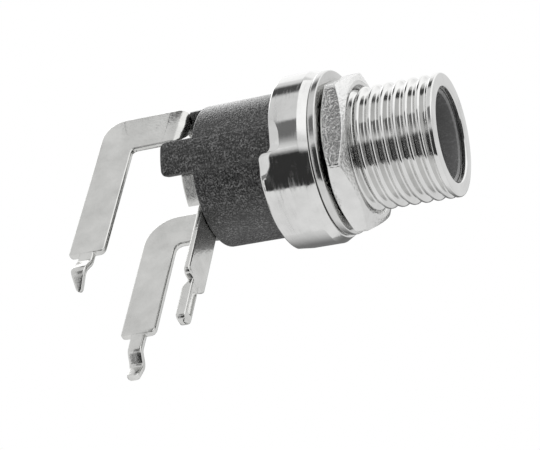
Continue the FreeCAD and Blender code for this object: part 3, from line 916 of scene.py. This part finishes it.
@dataclass
class Moulding:
    """Black moulded body: liner, flange, tube with its rib, cross wall and tails."""

    tube_r: float = 4.665
    bore_r: float = 4.15
    rear_x: float = -8.23
    flange_r: float = 5.065
    flange_x: float = -2.02
    face_x: float = -0.96       # the flange ends just behind the cup's floor
    front_wall: float = 0.74
    web: float = 1.30
    hole_r: float = 0.80        # the pin's shank goes through here
    liner_root: float = -1.45
    liner_x: float = 7.26
    liner_r: float = 3.21
    liner_bore: float = 2.99
    land_r: float = 2.81
    land_x: float = 5.86
    land_edge: float = 0.10
    land_slope: float = 0.18
    rim_edge: float = 0.14
    rib_angle: float = 27.8
    rib_r: float = 5.0
    rib_half: float = 1.175
    rib_end: float = -10.22
    rib_in_r: float = 4.20
    rib_corner: float = 0.32
    rib_ease: tuple = (0.4, 2.6)        # degrees that the flank spreads out and in
    rib_flank: tuple = (10.6, 15.4)     # degrees from its middle with dense columns
    tongue: tuple = (-78.0, -30.0)
    tongue_r: tuple = (3.70, 4.55)
    tongue_end: float = -9.30
    tongue_corner: float = 0.25
    tail_root: float = 0.25     # rib and tongue start this far inside the body
    tail_edge: float = 0.13
    tail_thin: float = 0.06     # they lose this much of each side at their ends
    slot: tuple = (31.0, 201.0)
    slot_r: tuple = (3.65, 4.15)
    slot_depth: float = 0.9
    slot_edge: float = 0.3      # degrees over which the slot's ends rise

    def outline(self, angles: np.ndarray) -> np.ndarray:
        """Outside radius of the tube at each angle, with the rib's rounded step.

        The rib's flanks run straight, so the step starts where the half width
        over the tube's radius is the sine of the angle, and ends where it is
        half width over the rib's radius.

        Args:
            angles: Columns in degrees.

        Returns:
            The radius.
        """
        base = math.degrees(math.asin(self.rib_half / self.tube_r))
        top = math.degrees(math.asin(self.rib_half / self.rib_r))
        off = np.abs(angles - self.rib_angle)
        rise = smooth_step(-off, -base - self.rib_ease[0], -top + self.rib_ease[1])
        return self.tube_r + (self.rib_r - self.tube_r) * rise

    def columns(self) -> np.ndarray:
        """Angles with dense columns at the rib's flanks and the slot's ends.

        Returns:
            The angles in degrees.
        """
        flank = np.linspace(*self.rib_flank, 20)
        ends = np.array([0.0, self.slot_edge])
        extra = [self.rib_angle - flank, self.rib_angle + flank, self.slot[0] - ends,
                 self.slot[1] + ends]
        return even_angles(160, np.concatenate(extra))

    def main_skin(self) -> np.ndarray:
        """Closed profile round the axis, from the pin's hole out and back.

        Returns:
            Points, rows by columns by 3.
        """
        angles = self.columns()
        outer = self.outline(angles)
        low, high = self.slot
        in_slot = window(angles, (low - self.slot_edge, low), (high, high + self.slot_edge))
        floor = self.rear_x + self.slot_depth * in_slot
        rear, wall = self.rear_x, self.face_x - self.front_wall
        profile = [
            (rear, self.hole_r, 0),
            (rear, self.slot_r[0], 0),
            (floor, self.slot_r[0] + 0.001, 0),
            (floor, self.slot_r[1] - 0.001, 0),
            (rear, self.slot_r[1], 0),
            (rear, outer, self.rim_edge),
            (self.flange_x - 0.001, outer, 0),
            (self.flange_x, self.flange_r, 0.04),
            (self.face_x, self.flange_r, 0.04),
            (self.face_x, self.liner_bore, 0.02),
            (wall, self.liner_bore, 0.04),
            (wall, self.bore_r, 0.02),
            (rear + self.web, self.bore_r, 0.02),
            (rear + self.web, self.hole_r, 0),
        ]
        return turned(profile, angles, closed=True)

    def liner(self) -> np.ndarray:
        """Closed profile of the liner: sleeve in the bushing with its guide land.

        Returns:
            Points, rows by columns by 3.
        """
        profile = [
            (self.liner_root, self.liner_bore, 0),
            (self.liner_root, self.liner_r, 0),
            (self.liner_x, self.liner_r, 0.03),
            (self.liner_x, self.land_r + self.land_edge, 0.02),
            (self.liner_x - self.land_edge, self.land_r, 0.03),
            (self.land_x, self.land_r, 0.03),
            (self.land_x - self.land_slope, self.liner_bore, 0.03),
        ]
        return turned(profile, even_angles(128), closed=True)

    def tail(self, radii: tuple, span: tuple, end: float, corner: float) -> np.ndarray:
        """Closed block that stands out behind the rim, its end corners rounded.

        The section is a piece of ring with rounded corners. Towards the end
        it narrows along a quarter circle, so the corners are round seen from
        outside.

        Args:
            radii: Inner and outer radius.
            span: First and last angle in degrees.
            end: The x of its end.
            corner: Radius of the end's corners.

        Returns:
            Loops along X.
        """
        middle = (radii[0] + radii[1]) / 2
        centre = (span[0] + span[1]) / 2
        half = np.radians(span[1] - span[0]) / 2 * middle
        depth = (radii[1] - radii[0]) / 2
        turn = np.radians(np.linspace(0, 90, 7))
        x = np.concatenate([[self.rear_x + self.tail_root],
                            end + corner * (1 - np.sin(turn))])
        pull = np.concatenate([[0.0], corner * (1 - np.cos(turn))])
        thin = np.concatenate([[0.0], self.tail_thin * (1 - np.cos(turn)) ** 2])
        corners = np.array([(-1, -1), (1, -1), (1, 1), (-1, 1)], dtype=float)
        loops = []
        for place, inset, less in zip(x, pull, thin):
            section = fillet(corners * np.array([half - inset, depth - less]),
                             [self.tail_edge] * 4, closed=True, steps=3)
            section = resample(np.concatenate([section, section[:1]]), 0.2)[:-1]
            loops.append(self.bent(place, section, middle, centre))
        longest = max(len(loop) for loop in loops)
        return np.array([self.even_loop(loop, longest) for loop in loops])

    @staticmethod
    def bent(x: float, flat: np.ndarray, middle: float, centre: float) -> np.ndarray:
        """Bend a flat section onto the tube: across becomes angle, up becomes radius."""
        angle = centre + np.degrees(flat[:, 0] / middle)
        return around_axis(x, middle + flat[:, 1], angle)

    @staticmethod
    def even_loop(loop: np.ndarray, count: int) -> np.ndarray:
        """Resample a closed loop, evenly by its length.

        Args:
            loop: Points of the loop.
            count: Half the number of points that it gets.

        Returns:
            The new points.
        """
        ring = np.concatenate([loop, loop[:1]])
        steps = np.linalg.norm(np.diff(ring, axis=0), axis=1)
        length = np.concatenate([[0], np.cumsum(steps)])
        share = np.linspace(0, length[-1], count * 2, endpoint=False)
        return np.stack([np.interp(share, length, ring[:, k]) for k in range(3)], axis=1)

    def build(self, material: bpy.types.Material, lit_liner: bpy.types.Material) -> None:
        """Make the body with its rib tail and tongue, and its liner.

        Args:
            material: Finish of the body.
            lit_liner: Finish of the liner, painted lighter as painted light in the bore.
        """
        shell = Shell()
        shell.grid(self.main_skin(), wrap_rows=True)
        half = math.degrees(math.asin(self.rib_half / self.rib_r))
        rib = (self.rib_angle - half, self.rib_angle + half)
        shell.tube(self.tail((self.rib_in_r, self.rib_r), rib, self.rib_end,
                             self.rib_corner))
        shell.tube(self.tail(self.tongue_r, self.tongue, self.tongue_end,
                             self.tongue_corner))
        dress(shell.build("moulded_body"), material, Body.JACK, ["insulator_body"])
        sleeve = Shell().grid(self.liner(), wrap_rows=True)
        # The liner's grey is painted light inside the bore
        dress(sleeve.build("bore_liner"), lit_liner, Body.JACK, ["insulator_body"])


# ---------------------------------------------------------------- stamped legs


@dataclass
class BoardPin:
    """Kinked snap-in pin at the end of a side leg."""

    neck_z: float               # the pin leaves the blade's plane here
    bulge: float                # it kinks out by this much
    bulge_z: float
    end_shift: float            # and its end still stands out by this much
    end_z: float
    taper: float                # each edge closes in by this much towards the end
    side: float                 # -1 bulges towards -Y, 1 towards +Y
    rear_x: float = -14.50
    width: float = 1.02
    bend: float = 0.55
    shoulder_z: float = -9.42
    end_round: float = 0.16     # height over which the end is rounded
    end_close: float = 0.13     # each edge closes in by this much there

    def edges(self, y: float) -> tuple:
        """Both edges of the pin from its neck to its end.

        The middle line runs straight down, out to the bulge and back in, its
        kinks rounded. Below the bulge both edges close in by the taper, and at
        the end along a quarter ellipse that stops short of a point.

        Args:
            y: Place of the leg's middle plane.

        Returns:
            Rear and front edge, one point per station.
        """
        path = np.array([(y, self.shoulder_z), (y, self.neck_z),
                         (y + self.side * self.bulge, self.bulge_z),
                         (y + self.side * self.end_shift, self.end_z)])
        line = resample(fillet(path, [0, self.bend, self.bend, 0], steps=6), 0.12)
        z = line[:, 1]
        half = self.width / 2
        fall = (self.bulge_z - z) / (self.bulge_z - self.end_z)
        near_end = np.clip((self.end_z + self.end_round - z) / self.end_round, 0, 1)
        close = self.taper * np.clip(fall, 0, 1)
        close = close + self.end_close * (1 - np.sqrt(1 - near_end ** 2 * 0.98))
        middle = self.rear_x + half
        return (points_at(middle - half + close, line[:, 0], z),
                points_at(middle + half - close, line[:, 0], z))


@dataclass
class SideBlade:
    """L-shaped side leg: an arm behind the body, a rounded corner, the leg, its pin."""

    pin: BoardPin
    y: float                    # middle plane of the sheet
    front_x: float              # the arm starts here
    top_z: float
    arm_height: float
    corner: float               # radius of the outer corner
    inner: float                # and of the inner one
    rear_x: float = -15.29
    width: float = 2.49
    neck: float = 0.2           # the pin keeps its full width down to here

    def arm_low(self) -> float:
        """Height of the arm's lower edge."""
        return self.top_z - self.arm_height

    def edges(self) -> tuple:
        """Outer and inner edge of the blade and its pin.

        Both edges are corner tracks with the same number of rounded corners,
        so each station joins an outer to an inner place.

        Returns:
            Outer and inner edge, one point per station.
        """
        low = self.pin.shoulder_z
        sides = (
            (self.rear_x, self.pin.rear_x, self.top_z, self.corner, 0.20),
            (self.rear_x + self.width, self.pin.rear_x + self.pin.width,
             self.arm_low(), self.inner, 0.45),
        )
        edges = []
        for (leg_x, pin_x, arm_z, bend, foot), pin_edge in zip(
                sides, self.pin.edges(self.y)):
            x = np.array([self.front_x, leg_x, leg_x, pin_x, pin_x])
            z = np.array([arm_z, arm_z, low, low, low - self.neck])
            track = fillet(points_at(x, self.y, z), [0, bend, foot, 0.08, 0], steps=10)
            edges.append(np.concatenate([track, pin_edge[2:]]))
        return tuple(edges)


@dataclass
class ShuntContact:
    """Near leg: tab in the body, bar above the pin, bend, blade and board pin."""

    blade: SideBlade
    sheet: float = 0.41
    face_x: float = -9.30
    bend: float = 1.10
    tab_y: float = 2.79
    tab_top: float = 2.20
    tab_low: float = 0.30
    tab_x: float = -4.45
    bar_low: float = 1.50
    neck_y: float = -2.85       # the bar's lower edge falls to the arm here,
    neck_step: tuple = (0.12, 0.16)     # over twice this width, by this height
    tab_rise: tuple = (0.4, 0.35)       # widths over which both edges reach the tab's

    def build(self, material: bpy.types.Material) -> None:
        """Make the strip from the tab to the end of the board pin.

        The plan path runs back beside the axis, across behind the body and
        round the bend to the blade. Its upper and lower edge are heights that
        depend on how far across the path is.

        Args:
            material: Its finish.
        """
        y = self.blade.y
        bar_x = self.face_x - self.sheet / 2
        tab_y = self.tab_y + self.sheet / 2
        plan = np.array([(self.tab_x, tab_y), (bar_x, tab_y), (bar_x, y),
                         (self.blade.front_x, y)])
        plan = resample(fillet(plan, [0, 0.40, self.bend, 0], steps=12), 0.14)
        across = plan[:, 1]
        far = self.tab_y - self.sheet
        wide, fall = self.neck_step
        top = np.interp(across, [far, far + self.tab_rise[0]],
                        [self.blade.top_z, self.tab_top])
        low = np.interp(
            across,
            [y + 0.02, self.neck_y - wide, self.neck_y + wide, far,
             far + self.tab_rise[1]],
            [self.blade.arm_low(), self.bar_low - fall, self.bar_low, self.bar_low,
             self.tab_low])
        outer, inner = self.blade.edges()
        left = np.concatenate([points_at(plan[:, 0], across, top)[:-1], outer])
        right = np.concatenate([points_at(plan[:, 0], across, low)[:-1], inner])
        shell = Shell().strip(left, right, self.sheet)
        dress(shell.build("shunt_leg"), material, Body.JACK, ["shunt_contact"])


@dataclass
class SleeveContact:
    """Far leg: rolled barrel with its spring finger, blade and board pin."""

    blade: SideBlade
    sheet: float = 0.41
    barrel_r: float = 3.905
    barrel: tuple = (32.0, 200.0)
    tail_x: float = -9.26
    front_x: float = -1.85
    notch_half: float = 1.29
    notch_x: float = -8.18
    notch_edge: float = 0.2     # degrees over which the tail steps forward
    spring_t: float = 0.30
    spring_half: float = 1.20
    spring_line: tuple = ((-6.85, 3.85), (-6.10, 3.85), (-2.45, 2.77), (-1.98, 3.10))

    def build(self, material: bpy.types.Material) -> None:
        """Make the barrel, the finger and the leg as one piece.

        The barrel is a strip whose stations run round the axis and whose
        edges are its tail and its front. The tail steps forward at the notch,
        which lies round 90 degrees, at the bottom.

        Args:
            material: Its finish.
        """
        notch = math.degrees(math.asin(self.notch_half / self.barrel_r))
        ends = span_ends(90, notch, self.notch_edge)
        angles = np.unique(np.concatenate([np.linspace(*self.barrel, 120), ends]))
        inside = np.abs(angles - 90) <= notch + 0.01
        tail = np.where(inside, self.notch_x, self.tail_x)
        shell = Shell()
        shell.strip(around_axis(tail, self.barrel_r, angles),
                    around_axis(self.front_x, self.barrel_r, angles), self.sheet)
        line = resample(fillet(np.array(self.spring_line), [0, 1.2, 0.4, 0], steps=8), 0.2)
        shell.strip(points_at(line[:, 0], line[:, 1], -self.spring_half),
                    points_at(line[:, 0], line[:, 1], self.spring_half), self.spring_t)
        shell.strip(*self.blade.edges(), self.sheet)
        dress(shell.build("sleeve_leg"), material, Body.JACK, ["sleeve_contact"])


@dataclass
class PinTerminal:
    """Middle leg: round head under the rivet, plate, and the hollow formed pin."""

    sheet: float = 0.41
    front_x: float = -8.23
    half_width: float = 1.24
    top_z: float = 1.55
    shoulder_z: float = -9.42
    pin_half: float = 0.48
    pin_depth: float = 0.70
    end_z: float = -12.60
    end_round: float = 0.32     # height over which the end is rounded
    end_flat: float = 0.20      # how far front and rear close in there
    end_close: float = 0.30     # and how far the sides do
    edge: float = 0.13          # radius of the section's corners
    groove_half: float = 0.27
    groove_depth: float = 0.34
    groove: tuple = (0.55, 0.45)        # it starts and ends this far from both ends
    groove_run: float = 0.3     # and gets its depth over this height

    def plate(self, shell: Shell) -> None:
        """Add the plate, from its round head down to the chamfered shoulders.

        Args:
            shell: Shell that takes it.
        """
        x = self.front_x - self.sheet / 2
        turn = np.radians(np.linspace(87, 0, 20))
        head_z = self.top_z - self.half_width + self.half_width * np.sin(turn)
        head_w = self.half_width * np.cos(turn)
        corners = np.array([(self.half_width, -6.0), (self.half_width, self.shoulder_z),
                            (self.pin_half, self.shoulder_z),
                            (self.pin_half, self.shoulder_z - 0.26)])
        edge = fillet(corners, [0, 0.45, 0.05, 0], steps=8)
        width = np.concatenate([head_w, edge[:, 0]])
        height = np.concatenate([head_z, edge[:, 1]])
        line = resample(np.stack([width, height], axis=1), 0.8)
        shell.strip(points_at(x, -line[:, 0], line[:, 1]),
                    points_at(x, line[:, 0], line[:, 1]), self.sheet)

    def formed_pin(self, shell: Shell) -> None:
        """Add the pin: a rounded section with a hollow in its front, swept down.

        The section's half width closes in at the round end, its depth grows
        from the plate's thickness below the shoulders, and the hollow's depth
        rises and falls by a smooth step at both of its ends.

        Args:
            shell: Shell that takes it.
        """
        top, end = self.shoulder_z, self.end_z
        bow = self.end_round * (1 - np.sin(np.radians(np.linspace(0, 88, 9))))
        z = np.concatenate([
            np.linspace(top - 0.25, end, 34), end + bow,
            np.linspace(top - 0.75, top - 0.40, 6), np.linspace(end + 0.50, end + 0.85, 6)])
        z = np.unique(z.round(4))[::-1]
        near = np.clip((end + self.end_round - z) / self.end_round, 0, 1)
        closed = 1 - np.sqrt(np.clip(1 - near ** 2, 0, 1))
        half = self.pin_half - self.end_close * closed
        grown = smooth_step(-z, -top + 0.05, -top + 0.6)
        depth = self.sheet + (self.pin_depth - self.sheet) * grown
        low, high = end + self.groove[0], top - self.groove[1]
        hollow = window(z, (low, low + self.groove_run), (high - self.groove_run, high))
        front = self.front_x - self.end_flat * closed
        rear = self.front_x - depth + self.end_flat * closed
        turn = np.radians([90, 60, 30, 0])
        rise, lean = self.edge * (1 - np.sin(turn)), self.edge * (1 - np.cos(turn))
        groove_x = np.array([0.0, 0.35, 0.8, 1.0, 0.8, 0.35, 0.0]) * self.groove_depth
        groove_y = np.array([1.0, 0.95, 0.6, 0.0, -0.6, -0.95, -1.0]) * self.groove_half
        x_side = np.concatenate([rear[:, None] + rise, front[:, None] - lean], axis=1)
        y_side = np.concatenate([half[:, None] - lean, half[:, None] - rise], axis=1)
        x_groove = front[:, None] - hollow[:, None] * groove_x
        y_groove = np.broadcast_to(groove_y, x_groove.shape)
        x = np.concatenate([x_side, x_groove, x_side[:, ::-1]], axis=1)
        y = np.concatenate([y_side, y_groove, -y_side[:, ::-1]], axis=1)
        shell.tube(points_at(x, y, z[:, None]))

    def build(self, material: bpy.types.Material) -> None:
        """Make the leg as one piece.

        Args:
            material: Its finish.
        """
        shell = Shell()
        self.plate(shell)
        self.formed_pin(shell)
        dress(shell.build("pin_leg"), material, Body.JACK, ["pin_terminal"])


# ---------------------------------------------------------------- studio


@dataclass(frozen=True)
class Card:
    """Soft-edged card along X that only the gloss of the object sees.

    It is a strip of a cylinder round the X axis. It has its full light in the
    middle and fades to the studio's own white at both edges by a smooth step.
    Below that white it is a dark card, above it a light panel.
    """

    name: str
    edges: tuple            # where it starts and ends, in degrees round the X axis
    soft: tuple             # degrees over which its start and its end fade
    span: tuple             # first and last x
    light: float            # light that its middle gives off
    distance: float         # radius at which it hangs
    slant: float = 0.0      # degrees by which its end lies lower at its last x

    def build(self) -> None:
        """Make the strip with its light as a point colour."""
        share = np.linspace(0, 1, CARD_COLUMNS + 1)
        start, end = self.edges
        rows = [around_axis(x, self.distance, start + (end + more - start) * share)
                for x, more in zip(self.span, (-self.slant / 2, self.slant / 2))]
        index = np.arange(CARD_COLUMNS)
        above = index + CARD_COLUMNS + 1
        quads = np.stack([index, index + 1, above + 1, above], axis=1)
        mesh = new_mesh(self.name, np.concatenate(rows), quads.tolist())
        angle = start + (end - start) * share
        full = window(angle, (start, start + self.soft[0]), (end - self.soft[1], end))
        shade = STUDIO_WHITE + (self.light - STUDIO_WHITE) * full[:, None] * np.ones(4)
        layer = mesh.color_attributes.new("shade", "FLOAT_COLOR", "POINT")
        layer.data.foreach_set("color", np.tile(shade, (2, 1)).ravel())
        material, tree = empty_material(self.name)
        read = add_node(tree, "ShaderNodeAttribute", attribute_name="shade")
        cloth = add_node(tree, "ShaderNodeEmission", {"Color": read.outputs["Color"]})
        add_node(tree, "ShaderNodeOutputMaterial", {"Surface": cloth.outputs[0]})
        mesh.materials.append(material)
        thing = new_object(self.name, mesh)
        thing.visible_camera = False
        thing.visible_diffuse = False
        thing.visible_shadow = False


CARDS = (
    Card("upper_card", (-78, -50), (10, 8), (-138, 30), 0.09, 285),
    Card("middle_card", (-12, 26), (5, 16), (-160, 30), 0.20, 285),
    Card("lower_card", (28, 82), (9, 2), (-57, 110), 0.04, 118, 6),
    Card("leg_card", (28, 86), (10, 6), (-100, -64), 0.26, 118),
    Card("back_card", (150, 230), (45, 8), (-300, 30), 0.20, 285),
    Card("top_panel", (-130, -80), (20, 8), (-300, 60), 1.20, 290),
    Card("body_panel", (-130, -74), (20, 8), (-150, -49.5), 2.20, 118),
    Card("front_panel", (-120, 20), (20, 20), (35, 420), 1.30, 290),
)


@dataclass
class Studio:
    """White studio with its camera, its lamps and the cards that the metal mirrors."""

    place: tuple = (0.040771, -0.079136, -0.089898)     # of the camera, in metres
    right: tuple = (0.919556, 0.365986, 0.143074)
    up: tuple = (0.158056, -0.677822, 0.718036)
    back: tuple = (0.359769, -0.637661, -0.681142)
    lens: float = 131.588
    sensor: float = 36.0
    floor_z: float = -125.0
    floor_half: float = 1500.0
    paper_gap: float = 8.0      # distance between pale patches of the floor

    def camera(self) -> None:
        """Put the camera at the photograph's viewing angle."""
        data = bpy.data.cameras.new("camera")
        data.lens, data.sensor_width = self.lens, self.sensor
        data.clip_start, data.clip_end = 0.002, 20.0
        turn = Matrix((self.right, self.up, self.back)).transposed().to_4x4()
        turn.translation = Vector(self.place)
        thing = new_object("camera", data)
        thing.matrix_world = turn
        bpy.context.scene.camera = thing

    def world(self) -> None:
        """Plain light from all round, seen as white by the camera and the metal."""
        world = bpy.data.worlds.new("studio")
        world.use_nodes = True
        tree = world.node_tree
        tree.nodes.clear()
        ray = add_node(tree, "ShaderNodeLightPath")
        seen = add_node(tree, "ShaderNodeMath", {
            0: ray.outputs["Is Camera Ray"], 1: ray.outputs["Is Transmission Ray"]},
            operation="MAXIMUM")
        mirrored = add_node(tree, "ShaderNodeMath", {
            0: ray.outputs["Is Glossy Ray"], 1: STUDIO_WHITE - FILL_LIGHT, 2: FILL_LIGHT},
            operation="MULTIPLY_ADD")
        power = add_node(tree, "ShaderNodeMath", {
            0: seen.outputs[0], 1: 1.0 - FILL_LIGHT, 2: mirrored.outputs[0]},
            operation="MULTIPLY_ADD")
        light = add_node(tree, "ShaderNodeBackground", {
            "Color": (1, 1, 1, 1), "Strength": power.outputs[0]})
        add_node(tree, "ShaderNodeOutputWorld", {"Surface": light.outputs[0]})
        bpy.context.scene.world = world

    def floor(self) -> None:
        """Plain pale floor below the camera."""
        size = self.floor_half
        corners = points_at(np.array([-size, size, size, -size]),
                            np.array([-size, -size, size, size]), self.floor_z)
        mesh = new_mesh("floor", corners, [(0, 1, 2, 3)])
        material, tree = empty_material("pale_paper")
        ray = add_node(tree, "ShaderNodeLightPath")
        seen = add_node(tree, "ShaderNodeMath", {
            0: ray.outputs["Is Camera Ray"], 1: ray.outputs["Is Glossy Ray"]},
            operation="MAXIMUM")
        colour = add_node(tree, "ShaderNodeMix", {
            MIX_SHARE: noise_on(tree, self.paper_gap), MIX_FIRST: linear("#f4f4f4"),
            MIX_SECOND: linear("#ffffff")}, data_type="RGBA")
        paper = add_node(tree, "ShaderNodeBsdfDiffuse", {"Color": colour.outputs[MIXED]})
        glow = add_node(tree, "ShaderNodeEmission", {
            "Color": (1, 1, 1, 1), "Strength": FLOOR_WHITE})
        both = add_node(tree, "ShaderNodeMixShader", {
            0: seen.outputs[0], 1: paper.outputs[0], 2: glow.outputs[0]})
        add_node(tree, "ShaderNodeOutputMaterial", {"Surface": both.outputs[0]})
        mesh.materials.append(material)
        thing = new_object("floor", mesh)

    def lamp(self, name: str, place: tuple, size: float, power: float) -> None:
        """Hang a soft square lamp that points at the object.

        Args:
            name: Name of the lamp.
            place: Where it hangs, in metres.
            size: Length of its sides, in metres.
            power: Its power in watts.
        """
        data = bpy.data.lights.new(name, "AREA")
        data.energy, data.size = power, size
        thing = new_object(name, data)
        thing.location = place
        thing.rotation_euler = Vector(place).to_track_quat("Z", "Y").to_euler()
        thing.visible_glossy = False

    def build(self) -> None:
        """Set the camera, the light, the floor and the cards."""
        self.camera()
        self.world()
        self.floor()
        self.lamp("key_lamp", (0.10, -0.28, 0.06), 0.12, 0.22)
        self.lamp("top_lamp", (-0.115, 0.10, 0.27), 0.20, 0.45)
        for card in CARDS:
            card.build()
        bpy.context.scene.view_settings.view_transform = "Standard"


def main() -> None:
    """Build each sub-assembly in order, then the studio."""
    thread = Thread()
    tin = TERMINAL_TIN.build()
    Bushing(thread).build(BUSHING_NICKEL.build())
    Moulding().build(BLACK_PBT.build(), PAINTED_LIGHT_LINER_PBT.build())
    CentrePin().build(PIN_NICKEL.build())
    near_pin = BoardPin(-10.15, 0.50, -11.20, -0.28, -12.28, 0.34, -1)
    far_pin = BoardPin(-10.75, 0.75, -11.45, 0.50, -12.55, 0.08, 1)
    ShuntContact(SideBlade(near_pin, -3.905, -10.605, 2.60, 2.97, 1.45, 0.30)).build(tin)
    SleeveContact(SideBlade(far_pin, 3.905, -8.33, 1.02, 2.71, 2.25, 0.50)).build(tin)
    PinTerminal().build(tin)
    Washer().build(WASHER_NICKEL.build())
    Nut(thread).build(NUT_NICKEL.build())
    Studio().build()


if __name__ == "__main__":
    main()
